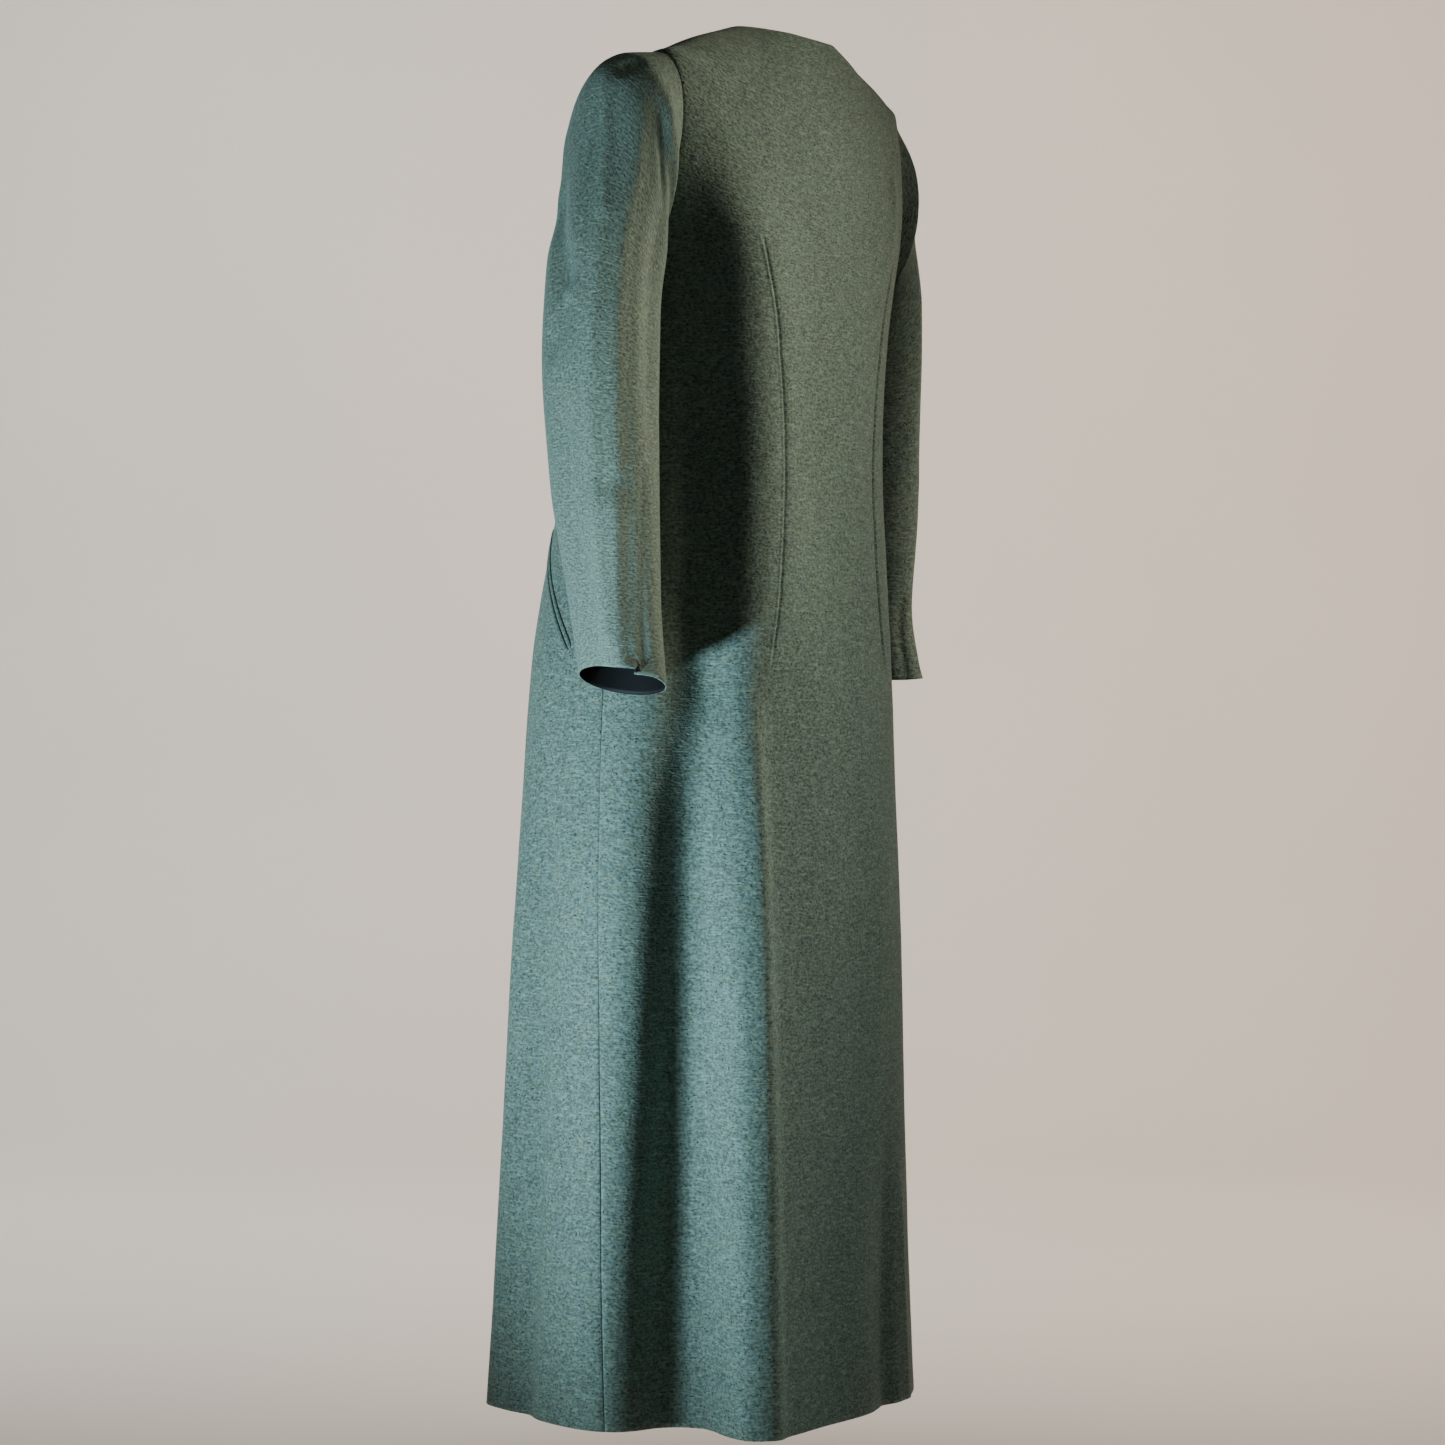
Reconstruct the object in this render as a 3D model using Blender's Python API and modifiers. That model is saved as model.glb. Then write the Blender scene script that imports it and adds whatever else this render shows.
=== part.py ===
"""Long collarless silk coat, hollow and filled out as it hangs on a wearer.

Metres, +Z up. The front faces -Y and the wearer's left is +X. The origin is the middle of the neck, level with
the inner ends of the shoulder seams. Each piece is one wall of cloth, lofted through rings of the coat's sizes.
"""

import bpy
import numpy as np

MM = 0.001

# The cloth, the gap between sewn pieces at their outside (the walls lean together to about 0.3 mm inside, most
# of all at the shoulder seams), and the gap between the fronts where they lap
CLOTH = 2.0 * MM
SEAM_GAP, SHOULDER_GAP = 0.9 * MM, 1.4 * MM
LAP_GAP = 0.8 * MM

# Rings of the body from the neckline to the hem, in millimetres: "down" runs along the side of the coat from
# the neck, and the two fullnesses square a ring between its widest points, behind and in front.
RING_COLUMNS = (
    "down", "side_z", "back_z", "front_z", "half_width", "side_y", "back_y", "front_y", "back_full", "front_full",
)
RINGS = {
    "neckline": (0, 0, -5, -78, 72, 2, 46, -62, 0.01, 0.02),
    "shoulder_middle": (63, -20, -45, -114, 131, 3, 63, -90, -0.01, 0.00),
    "shoulder_outer": (105, -35, -80, -138, 167, 4, 71, -106, -0.04, -0.04),
    "shoulder_point": (126, -43, -97, -152, 186, 5, 74, -114, -0.07, -0.06),
    "armhole_middle": (211, -128, -165, -190, 198, -12, 82, -136, 0.00, 0.02),
    "underarm": (301, -216, -228, -240, 179, -27, 81, -152, 0.03, 0.04),
    "bust": (350, -265, -268, -276, 174, -32, 79, -163, 0.03, 0.05),
    "waist": (470, -385, -385, -385, 170, -38, 77, -172, 0.03, 0.06),
    "high_hip": (565, -480, -480, -480, 177, -42, 79, -184, 0.04, 0.09),
    "hip": (685, -600, -600, -600, 191, -45, 85, -199, 0.04, 0.10),
    "thigh": (885, -800, -800, -800, 197, -45, 97, -214, 0.04, 0.10),
    "knee": (1085, -1000, -1000, -1000, 201, -45, 106, -222, 0.04, 0.10),
    "calf": (1235, -1150, -1150, -1150, 205, -45, 113, -228, 0.04, 0.10),
    "hem": (1361, -1276, -1278, -1276, 208, -45, 122, -235, 0.04, 0.10),
}
HEM = 1361 * MM

# The corners of that table are crisp at the sides, and are rounded over this length at the back and front
ROUNDING = 45 * MM
# The front neckline is rounder than the rings below it: the power its drop follows
NECK_ROUND, RING_ROUND, NECK_ROUND_ENDS = 1.35, 2.0, 90 * MM

# Long soft folds of the skirt. Each runs from "starts" to the hem at an angle from the left side towards the
# back, stands out by "depth" at the hem, and is as wide as stated on its two sides, in degrees.
FOLD_COLUMNS = ("angle_top", "angle_hem", "starts", "wide_before", "wide_after", "depth")
FOLDS = {
    "left_side_ridge": (3, 5, 640, 22, 19, 15),
    "back_left_trough": (34, 36, 590, 13, 5, -17),
    "back_left_ridge": (51, 49, 620, 6, 18, 30),
    "back_right_trough": (104, 103, 1000, 7, 5, -7),
    "right_side_ridge": (176, 174, 640, 18, 18, 10),
    "right_front_trough": (-142, -139, 700, 12, 8, -12),
    "right_front_ridge": (-124, -123, 660, 9, 12, 10),
    "left_front_ridge": (-66, -68, 720, 10, 12, 8),
}

# Seams, as angles round the ring from its widest point at the side towards the back, in degrees
SIDE_SEAM_TOP, SIDE_SEAM_HEM = 2.0, 9.0
ARMHOLE_TOP, ARMHOLE_BOTTOM = 126 * MM, 301 * MM
ARMHOLE_BACK, ARMHOLE_FRONT, ARMHOLE_FULL_ABOVE = 22.0, 31.0, 0.2

# The two long back darts, pointed at both ends: where the stitching runs, and how deep it draws the cloth in
DART_COLUMNS = ("down", "angle", "depth")
DART = {
    "upper_point": (272, 53.0, 0.0),
    "bust": (370, 60.5, 1.6),
    "waist": (500, 63.8, 2.6),
    "high_hip": (610, 62.6, 1.6),
    "lower_point": (682, 60.6, 0.0),
}
DART_HALF_WIDTH = 5 * MM

# The fronts lap across the middle, the right one over the left, whose cloth steps in before it goes under
LAP_FROM_MIDDLE = 30 * MM
LAP_STEP_WIDTH = 28 * MM

# Rings of the two sleeves in front view, how far back the middle of each lies, and half its size front to back
SLEEVE_COLUMNS = ("outer_x", "outer_z", "inner_x", "inner_z", "mid_y", "half_depth")
SLEEVES = {
    "left": {
        "cap_roll": (212, -46, 192, -222, -15, 54),
        "cap_crown": (231, -68, 187, -237, -22, 55),
        "cap_low": (241, -126, 182, -252, -22, 55),
        "upper_arm": (262, -214, 180, -284, -26, 57),
        "elbow": (271, -320, 182, -338, -24, 57),
        "forearm": (266, -425, 186, -436, -19, 53),
        "cuff_near": (254, -520, 188, -530, -11, 46),
        "cuff": (246, -594, 190, -619, -2, 44),
    },
    "right": {
        "cap_roll": (207, -53, 193, -221, -18, 52),
        "cap_crown": (224, -79, 189, -236, -26, 52),
        "cap_low": (240, -132, 183, -252, -32, 53),
        "upper_arm": (264, -214, 182, -284, -34, 56),
        "elbow": (267, -320, 184, -338, -36, 56),
        "forearm": (263, -425, 187, -436, -35, 52),
        "cuff_near": (250, -520, 189, -524, -29, 46),
        "cuff": (248, -594, 191, -599, -13, 44),
    },
}

# A tuck in the loose cloth behind each cuff, as a turn round the sleeve from its outer side towards the back
TUCK_COLUMNS = ("turn", "starts_z", "wide_before", "wide_after", "depth")
TUCKS = {"left": (63, -400, 7, 26, -7), "right": (40, -470, 7, 24, -5)}

# Slanted pockets with two narrow lips: the ends of the slit, and the size of a lip
POCKET_LOW_DOWN, POCKET_LOW_ANGLE = 663 * MM, -16.0
POCKET_HIGH_DOWN, POCKET_HIGH_ANGLE = 550 * MM, -48.0
LIP_WIDTH, LIP_THICK, LIP_GAP, SLIT = 5.0 * MM, 1.4 * MM, 0.4 * MM, 1.4 * MM

# Rows and columns of the lofts
YOKE_ROWS, ARMHOLE_STEPS, SKIRT_ROWS, SLEEVE_ROWS = 5, 12, 19, 20
BACK_SIDE_COLUMNS, BACK_MIDDLE_COLUMNS, FRONT_COLUMNS, LIP_STEPS = 12, 6, 11, 14

SILK_BACK, SILK_FRONT, SILK_SLEEVE, SILK_LIP = "5C706B", "64807C", "5F7B78", "55706C"


def column(table, columns, name):
    place = columns.index(name)
    return np.array([row[place] for row in table.values()], float)


def curve(knots, values, at):
    """A smooth line through a table's values that never passes them between two rows."""
    step = np.diff(knots)
    slope = np.diff(values) / step
    same_way = slope[:-1] * slope[1:] > 0
    both = np.where(same_way, slope[:-1] + slope[1:], 1)
    slopes = np.concatenate([slope[:1], np.where(same_way, 2 * slope[:-1] * slope[1:] / both, 0), slope[-1:]])
    i = np.clip(np.searchsorted(knots, at, side="right") - 1, 0, len(knots) - 2)
    t = np.clip((at - knots[i]) / step[i], 0, 1)
    first = (2 * t**3 - 3 * t**2 + 1) * values[i] + (t**3 - 2 * t**2 + t) * step[i] * slopes[i]
    return first + (3 * t**2 - 2 * t**3) * values[i + 1] + (t**3 - t**2) * step[i] * slopes[i + 1]


def ease(t):
    t = np.clip(t, 0, 1)
    return t * t * (3 - 2 * t)


def ring_value(name, down):
    scale = 1 if name.endswith("full") else MM
    return scale * curve(column(RINGS, RING_COLUMNS, "down") * MM, column(RINGS, RING_COLUMNS, name), down)


def rounded_ring_value(name, down, share):
    """The table's value, with that share of its corners rounded."""
    near = np.minimum(ROUNDING, np.minimum(down, HEM - down))
    mean = (ring_value(name, down - near) + 2 * ring_value(name, down) + ring_value(name, down + near)) / 4
    return ring_value(name, down) * (1 - share) + mean * share


def fold_depth(angle, down):
    total = np.zeros(angle.shape)
    for row in FOLDS.values():
        fold = dict(zip(FOLD_COLUMNS, row))
        share = np.clip((down - fold["starts"] * MM) / (HEM - fold["starts"] * MM), 0, 1)
        centre = fold["angle_top"] + (fold["angle_hem"] - fold["angle_top"]) * share
        off = (np.degrees(angle) - centre + 180) % 360 - 180
        wide = np.where(off < 0, fold["wide_before"], fold["wide_after"])
        total = total + fold["depth"] * MM * ease(share) * np.exp(-((off / wide) ** 2))
    return total


def body(angle, down):
    """A point of the coat's outside. The angle runs from the left side over the back to the right side."""
    angle, down = np.broadcast_arrays(np.asarray(angle, float), np.asarray(down, float))
    across, along = np.cos(angle), np.sin(angle)
    behind = along >= 0
    share = ease((np.abs(along) - 0.1) / 0.5)
    value = {name: rounded_ring_value(name, down, share) for name in RING_COLUMNS[1:]}
    half_width = value["half_width"]
    reach = np.where(behind, value["back_y"], value["front_y"]) - value["side_y"]
    drop = np.where(behind, value["back_z"], value["front_z"]) - value["side_z"]
    full = 1 + np.where(behind, value["back_full"], value["front_full"]) * np.sin(2 * angle) ** 2
    power = NECK_ROUND + (RING_ROUND - NECK_ROUND) * ease(down / NECK_ROUND_ENDS)
    power = np.where(behind, RING_ROUND, power)
    out = fold_depth(angle, down) / np.hypot(across / half_width, along / reach)
    x = half_width * across * full + out * across / half_width
    y = value["side_y"] + reach * np.abs(along) * full + out * along / np.abs(reach)
    return np.stack([x, y, value["side_z"] + drop * np.abs(along) ** power], -1)


def body_moved_out(angle, down, distance):
    """A point of the coat's outside, moved straight out of the cloth."""
    small = 1e-4
    round_way = body(angle + small, down) - body(angle - small, down)
    down_way = body(angle, down + small) - body(angle, down - small)
    normal = np.cross(down_way, round_way)
    normal /= np.linalg.norm(normal, axis=-1, keepdims=True)
    return body(angle, down) + normal * np.asarray(distance)[..., None]


def radius(angle, down):
    """How far a point moves for each radian round the ring."""
    small = 1e-4
    return np.linalg.norm(body(angle + small, down) - body(angle - small, down), axis=-1) / (2 * small)


def mirrored(angle):
    return -np.pi - angle


def armhole_edge(turn):
    """Angle and down of the armhole's edge. The turn is 0 at the shoulder and pi under the arm, by the back."""
    middle, half = (ARMHOLE_TOP + ARMHOLE_BOTTOM) / 2, (ARMHOLE_BOTTOM - ARMHOLE_TOP) / 2
    reach = np.where(np.sin(turn) >= 0, ARMHOLE_BACK, ARMHOLE_FRONT) * (1 + ARMHOLE_FULL_ABOVE * np.cos(turn))
    centre = SIDE_SEAM_TOP * (1 - np.cos(turn)) / 2
    return np.radians(centre + reach * np.sin(turn)), middle - half * np.cos(turn)


def panel_edge(way):
    """How far down each row of a panel lies, and the angle of its edge at the left shoulder, armhole and side.

    The way is 1 for the back and -1 for a front. Half of the seam's gap is taken off the edge.
    """
    yoke = np.linspace(0, ARMHOLE_TOP, YOKE_ROWS + 1)[:-1]
    turns = way * np.linspace(0, np.pi, ARMHOLE_STEPS + 1)
    below = ARMHOLE_BOTTOM + (HEM - ARMHOLE_BOTTOM) * np.linspace(0, 1, SKIRT_ROWS + 1)[1:] ** 0.95
    armhole_angles, armhole_downs = armhole_edge(turns)
    share = (below - ARMHOLE_BOTTOM) / (HEM - ARMHOLE_BOTTOM)
    seam = np.radians(SIDE_SEAM_TOP + (SIDE_SEAM_HEM - SIDE_SEAM_TOP) * share)
    downs = np.concatenate([yoke, armhole_downs, below])
    angles = np.concatenate([np.zeros(YOKE_ROWS), armhole_angles, seam])
    gap = np.where(downs < ARMHOLE_TOP + MM, SHOULDER_GAP, SEAM_GAP)
    return downs, angles + way * gap / 2 / radius(angles + way * 0.01, downs)


def cloth_material(name, colour):
    material = bpy.data.materials.new(name)
    material.use_nodes = True
    shader = material.node_tree.nodes["Principled BSDF"]
    channels = [int(colour[i : i + 2], 16) / 255 for i in (0, 2, 4)]
    linear = [c / 12.92 if c <= 0.04045 else ((c + 0.055) / 1.055) ** 2.4 for c in channels]
    shader.inputs["Base Color"].default_value = (*linear, 1)
    shader.inputs["Roughness"].default_value = 0.78
    shader.inputs["Metallic"].default_value = 0.0
    shader.inputs["Sheen Weight"].default_value = 0.25
    return material


def wall_of_cloth(name, grid, colour, closed=False, thick=CLOTH):
    """A wall whose outside is a grid of points, with rows running down and columns anticlockwise from above."""
    rows, columns = grid.shape[:2]
    faces = []
    for r in range(rows - 1):
        for c in range(columns if closed else columns - 1):
            beside = (c + 1) % columns
            faces.append(
                (r * columns + c, (r + 1) * columns + c, (r + 1) * columns + beside, r * columns + beside)
            )
    mesh = bpy.data.meshes.new(name)
    mesh.from_pydata([tuple(point) for point in grid.reshape(-1, 3)], [], faces)
    mesh.materials.append(cloth_material(name + "_silk", colour))
    mesh.shade_smooth()
    piece = bpy.data.objects.new(name, mesh)
    bpy.data.collections["Silk coat"].objects.link(piece)
    wall = piece.modifiers.new("Cloth", "SOLIDIFY")
    wall.thickness = thick
    wall.offset = -1
    return piece


def back():
    downs, edge = panel_edge(1)
    places = column(DART, DART_COLUMNS, "down") * MM
    dart = np.radians(curve(places, column(DART, DART_COLUMNS, "angle"), downs))
    beside = DART_HALF_WIDTH / radius(dart, downs)
    side = np.linspace(0, 1, BACK_SIDE_COLUMNS + 1)
    middle = np.linspace(0, 1, BACK_MIDDLE_COLUMNS + 1)
    outer = edge[:, None] + (dart - beside - edge)[:, None] * side
    inner = (dart + beside)[:, None] + (np.pi / 2 - dart - beside)[:, None] * middle
    half = np.concatenate([outer, dart[:, None], inner], 1)
    angle = np.concatenate([half, np.pi - half[:, -2::-1]], 1)
    depth = np.zeros(angle.shape)
    drawn_in = curve(places, column(DART, DART_COLUMNS, "depth") * MM, downs)
    for place in (BACK_SIDE_COLUMNS + 1, angle.shape[1] - BACK_SIDE_COLUMNS - 2):
        depth[:, place] = -drawn_in
    down = np.broadcast_to(downs[:, None], angle.shape)
    wall_of_cloth("coat_back", body_moved_out(angle, down, depth), SILK_BACK)


def front(name, is_left):
    downs, edge = panel_edge(-1)
    half_width = ring_value("half_width", downs)
    step_start = np.minimum(
        LAP_FROM_MIDDLE + LAP_STEP_WIDTH, LAP_FROM_MIDDLE + 0.35 * (half_width - LAP_FROM_MIDDLE)
    )
    lap_columns = [step_start] + [np.full_like(downs, x * MM) for x in (31.5, 10, -10)]
    lap_columns.append(np.full_like(downs, -LAP_FROM_MIDDLE))
    lap = -np.arccos(np.stack(lap_columns, 1) / half_width[:, None])
    share = np.linspace(0, 1, FRONT_COLUMNS + 1)[:-1]
    angle = np.concatenate([edge[:, None] + (lap[:, :1] - edge[:, None]) * share, lap], 1)
    depth = np.zeros(angle.shape)
    if is_left:
        depth[:, FRONT_COLUMNS + 1 :] = -(CLOTH + LAP_GAP)
        angle, depth = angle[:, ::-1], depth[:, ::-1]
    else:
        angle = mirrored(angle)
    down = np.broadcast_to(downs[:, None], angle.shape)
    wall_of_cloth(name, body_moved_out(angle, down, depth), SILK_FRONT)


def sleeve(name, is_left):
    turns = np.linspace(0, 2 * np.pi, 2 * ARMHOLE_STEPS, endpoint=False)
    rings = [body(*armhole_edge(turns)) + np.array([SEAM_GAP / 2, 0, 0])]
    for row in SLEEVES["left" if is_left else "right"].values():
        ring = dict(zip(SLEEVE_COLUMNS, np.array(row) * MM))
        outer = np.array([ring["outer_x"], ring["mid_y"], ring["outer_z"]])
        inner = np.array([ring["inner_x"], ring["mid_y"], ring["inner_z"]])
        middle, out = (outer + inner) / 2, (outer - inner) / 2
        deep = np.array([0, ring["half_depth"], 0])
        rings.append(middle + np.cos(turns)[:, None] * out + np.sin(turns)[:, None] * deep)
    rings = np.array(rings)
    steps = np.linalg.norm(np.diff(rings.mean(1), axis=0), axis=-1) + 10 * MM
    knots = np.concatenate([[0], np.cumsum(steps)])
    rows = np.linspace(0, knots[-1], SLEEVE_ROWS + 1)
    grid = np.array([[[curve(knots, rings[:, c, k], at) for k in range(3)] for c in range(len(turns))] for at in rows])
    tuck = dict(zip(TUCK_COLUMNS, TUCKS["left" if is_left else "right"]))
    middle = grid.mean(1, keepdims=True)
    off = np.degrees(turns) - tuck["turn"]
    wide = np.where(off < 0, tuck["wide_before"], tuck["wide_after"])
    starts, cuff = tuck["starts_z"] * MM, middle[-1, 0, 2]
    grown = ease((middle[..., 2] - starts) / (cuff - starts))
    outward = (grid - middle) / np.linalg.norm(grid - middle, axis=-1, keepdims=True)
    grid = grid + outward * (tuck["depth"] * MM * grown * np.exp(-((off / wide) ** 2)))[..., None]
    if not is_left:
        grid = grid[:, ::-1] * np.array([-1, 1, 1])
    wall_of_cloth(name, grid, SILK_SLEEVE, closed=True)


def pocket_lip(name, is_left, is_upper):
    """A rounded strip beside the slit, made from the points of the front and moved out of it."""
    share = np.linspace(0, 1, LIP_STEPS + 1)[:, None]
    angle = np.radians(POCKET_LOW_ANGLE + (POCKET_HIGH_ANGLE - POCKET_LOW_ANGLE) * share)
    down = POCKET_LOW_DOWN + (POCKET_HIGH_DOWN - POCKET_LOW_DOWN) * share
    arc = radius(angle, down)
    slit_round = np.radians(POCKET_HIGH_ANGLE - POCKET_LOW_ANGLE) * arc
    slit_down = np.full_like(slit_round, POCKET_HIGH_DOWN - POCKET_LOW_DOWN)
    length = np.hypot(slit_round, slit_down)
    side = 1 if is_upper else -1
    away = side * (SLIT / 2 + LIP_WIDTH * np.linspace(0, 1, 5)[None, :])
    crown = LIP_GAP + LIP_THICK * (0.85 + 0.5 * np.sin(np.pi * np.linspace(0, 1, 5)))[None, :]
    round_by, down_by = away * -slit_down / length, away * slit_round / length
    angle, down = angle + round_by / arc, down + down_by
    if not is_left:
        angle = mirrored(angle)
    grid = body_moved_out(angle, down, np.broadcast_to(crown, angle.shape))
    if is_left == is_upper:
        grid = grid[:, ::-1]
    wall_of_cloth(name, grid, SILK_LIP, thick=0.8 * LIP_THICK)


def build():
    for obj in list(bpy.data.objects):
        bpy.data.objects.remove(obj, do_unlink=True)
    parts = bpy.data.collections.new("Silk coat")
    bpy.context.scene.collection.children.link(parts)
    back()
    for hand, is_left in (("left", True), ("right", False)):
        front(hand + "_front", is_left)
        sleeve(hand + "_sleeve", is_left)
        pocket_lip(hand + "_pocket_upper_lip", is_left, True)
        pocket_lip(hand + "_pocket_lower_lip", is_left, False)


if __name__ == "__main__":
    build()
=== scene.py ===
import bpy
import numpy as np
from mathutils import Matrix, noise


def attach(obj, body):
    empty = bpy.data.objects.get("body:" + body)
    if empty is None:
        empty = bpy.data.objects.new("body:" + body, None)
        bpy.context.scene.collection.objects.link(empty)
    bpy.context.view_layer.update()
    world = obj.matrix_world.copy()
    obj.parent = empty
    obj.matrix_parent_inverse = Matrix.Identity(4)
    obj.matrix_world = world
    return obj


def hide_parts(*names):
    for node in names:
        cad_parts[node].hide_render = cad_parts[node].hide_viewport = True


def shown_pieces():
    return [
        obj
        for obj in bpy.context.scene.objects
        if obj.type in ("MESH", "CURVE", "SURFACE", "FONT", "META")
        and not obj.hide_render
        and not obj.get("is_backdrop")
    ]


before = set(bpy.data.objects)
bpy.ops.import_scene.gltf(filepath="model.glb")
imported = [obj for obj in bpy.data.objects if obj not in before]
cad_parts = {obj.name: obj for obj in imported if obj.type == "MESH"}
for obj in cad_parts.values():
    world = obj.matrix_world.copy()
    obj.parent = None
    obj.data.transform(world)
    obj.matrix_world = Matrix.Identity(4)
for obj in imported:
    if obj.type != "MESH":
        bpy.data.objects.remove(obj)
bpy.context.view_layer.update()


# The back. One panel of slubbed silk tweed, woven plain from teal and olive yarns, cut with its warp running
# down the middle, and drawn in at the waist by two long darts that are stitched to a point at both ends.

MM = 0.001

# Rings of the coat's outside, in millimetres: how far each lies down the cloth, how high and how far back its
# side, back and front are, its half width, and how much fuller than an ellipse it is between them
RING_COLUMNS = (
    "down", "side_z", "back_z", "front_z", "half_width",
    "side_y", "back_y", "front_y", "back_full", "front_full",
)
RINGS = {
    "neckline": (0, 0, -5, -78, 72, 2, 46, -62, 0.01, 0.02),
    "shoulder_middle": (63, -20, -45, -114, 131, 3, 63, -90, -0.01, 0.00),
    "shoulder_outer": (105, -35, -80, -138, 167, 4, 71, -106, -0.04, -0.04),
    "shoulder_point": (126, -43, -97, -152, 186, 5, 74, -114, -0.07, -0.06),
    "armhole_middle": (211, -128, -165, -190, 198, -12, 82, -136, 0.00, 0.02),
    "underarm": (301, -216, -228, -240, 179, -27, 81, -152, 0.03, 0.04),
    "bust": (350, -265, -268, -276, 174, -32, 79, -163, 0.03, 0.05),
    "waist": (470, -385, -385, -385, 170, -38, 77, -172, 0.03, 0.06),
    "high_hip": (565, -480, -480, -480, 177, -42, 79, -184, 0.04, 0.09),
    "hip": (685, -600, -600, -600, 191, -45, 85, -199, 0.04, 0.10),
    "thigh": (885, -800, -800, -800, 197, -45, 97, -214, 0.04, 0.10),
    "knee": (1085, -1000, -1000, -1000, 201, -45, 106, -222, 0.04, 0.10),
    "calf": (1235, -1150, -1150, -1150, 205, -45, 113, -228, 0.04, 0.10),
    "hem": (1361, -1276, -1278, -1276, 208, -45, 122, -235, 0.04, 0.10),
}
HEM = 1361 * MM
ROUNDING = 45 * MM
NECK_ROUND, RING_ROUND, NECK_ROUND_ENDS = 1.35, 2.0, 90 * MM

# Folds of the skirt by their angle round the body at the top and at the hem. Each starts at its way down and
# grows to its full depth at the hem, in millimetres, and is as wide as stated on its two sides, in degrees.
FOLD_COLUMNS = ("angle_top", "angle_hem", "starts", "wide_before", "wide_after", "depth")
FOLDS = {
    "left_side_ridge": (3, 5, 640, 22, 19, 15),
    "back_left_trough": (34, 36, 590, 13, 5, -17),
    "back_left_ridge": (51, 49, 620, 6, 18, 30),
    "back_right_trough": (104, 103, 1000, 7, 5, -7),
    "right_side_ridge": (176, 174, 640, 18, 18, 10),
    "right_front_trough": (-142, -139, 700, 12, 8, -12),
    "right_front_ridge": (-124, -123, 660, 9, 12, 10),
    "left_front_ridge": (-66, -68, 720, 10, 12, 8),
}
# The side seam's angle by its way down, and how many degrees the armhole reaches round to the back and front
SIDE_SEAM_COLUMNS = ("down", "angle")
SIDE_SEAM = {
    "underarm": (301, 2.0),
    "waist": (500, 0.6),
    "hip": (700, 0.2),
    "high_thigh": (830, 1.4),
    "knee": (1000, 4.6),
    "calf": (1156, 7.6),
    "hem": (1361, 10.8),
}
ARMHOLE_TOP, ARMHOLE_BOTTOM = 126 * MM, 301 * MM
ARMHOLE_BACK, ARMHOLE_FRONT, ARMHOLE_FULL_ABOVE = 22.0, 31.0, 0.2

# The dart's line by its angle round the body, and how deep it draws the cloth in, in millimetres
DART_COLUMNS = ("down", "angle", "depth")
DART = {
    "upper_point": (262, 53.2, 0.0),
    "shoulder_blade": (300, 55.6, 0.7),
    "bust": (370, 60.1, 1.8),
    "waist": (500, 63.7, 2.6),
    "high_hip": (610, 62.8, 1.6),
    "lower_point": (684, 60.4, 0.0),
}
DART_HALF_WIDTH, DART_LINE, DART_RIDGE = 6 * MM, 1.3 * MM, 1.1 * MM
DART_SINKS, DART_SUNK_MM, DART_STITCHED_FROM = 0.6, 5, 0.8 * MM

# Cloth 0.9 mm thick, whose edges roll in by 0.8 mm over the last few millimetres before a seam
CLOTH, SEAM_ROLL, SEAM_ROLL_WIDTH = 0.9 * MM, 0.8 * MM, 1.8 * MM
YOKE_ROWS, ARMHOLE_ROWS, SKIRT_ROWS = 34, 56, 228
BACK_OUTER_COLUMNS, BACK_DART_COLUMNS, BACK_INNER_COLUMNS = 34, 12, 30

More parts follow.
